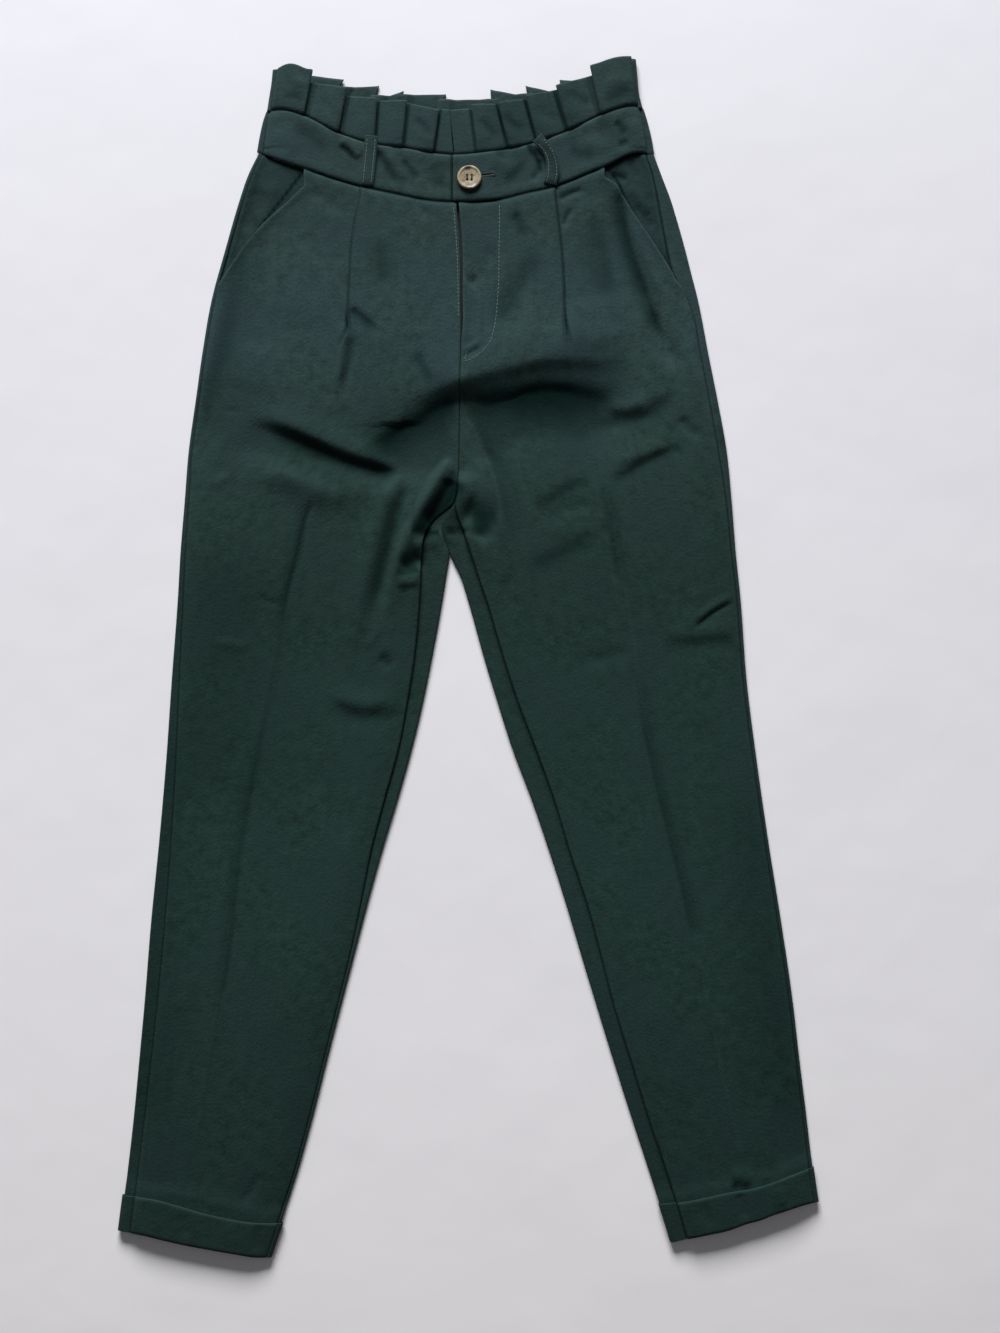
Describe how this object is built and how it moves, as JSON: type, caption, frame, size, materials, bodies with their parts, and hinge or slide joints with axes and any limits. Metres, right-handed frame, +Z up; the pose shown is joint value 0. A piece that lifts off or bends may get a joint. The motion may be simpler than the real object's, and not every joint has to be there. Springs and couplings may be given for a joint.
{
  "type": "paperbag waist trousers",
  "caption": "High-waisted tapered trousers laid flat, with a knife-pleated paperbag frill above the waistband, a buttoned fly, slanted pockets, front pleats, belt loops and turned-up hems.",
  "frame": {"origin": "middle of the garment's box in x and y, at its underside", "axes": "+Y from the hems to the waist, +X towards the wearer's left, +Z up out of the front, with the back lying on z = 0"},
  "size_m": [0.5984, 1.0212, 0.0166],
  "materials": {
    "twill": "dark green cotton twill, matt with a faint dry sheen, slightly mottled",
    "pocketing": "the same dark green cloth, plain",
    "zip_tape": "dark woven zip tape",
    "horn": "horn-look resin, beige with brown clouds, softly polished",
    "thread": "pale grey-green sewing thread"
  },
  "bodies": {
    "root": {"front_panel_right": "twill", "back_panel_right": "twill", "pocket_bag_right": "pocketing", "waistband_front_right": "twill", "frill_front_right": "twill", "turnup_front_right": "twill", "turnup_back_right": "twill", "belt_loop_right": "twill", "front_panel_left": "twill", "back_panel_left": "twill", "pocket_bag_left": "pocketing", "waistband_front_left": "twill", "frill_front_left": "twill", "turnup_front_left": "twill", "turnup_back_left": "twill", "belt_loop_left": "twill", "waistband_back": "twill", "frill_back": "twill", "fly_shield": "twill", "fly_zip": "zip_tape", "button": "horn"}
  },
  "joints": []
}
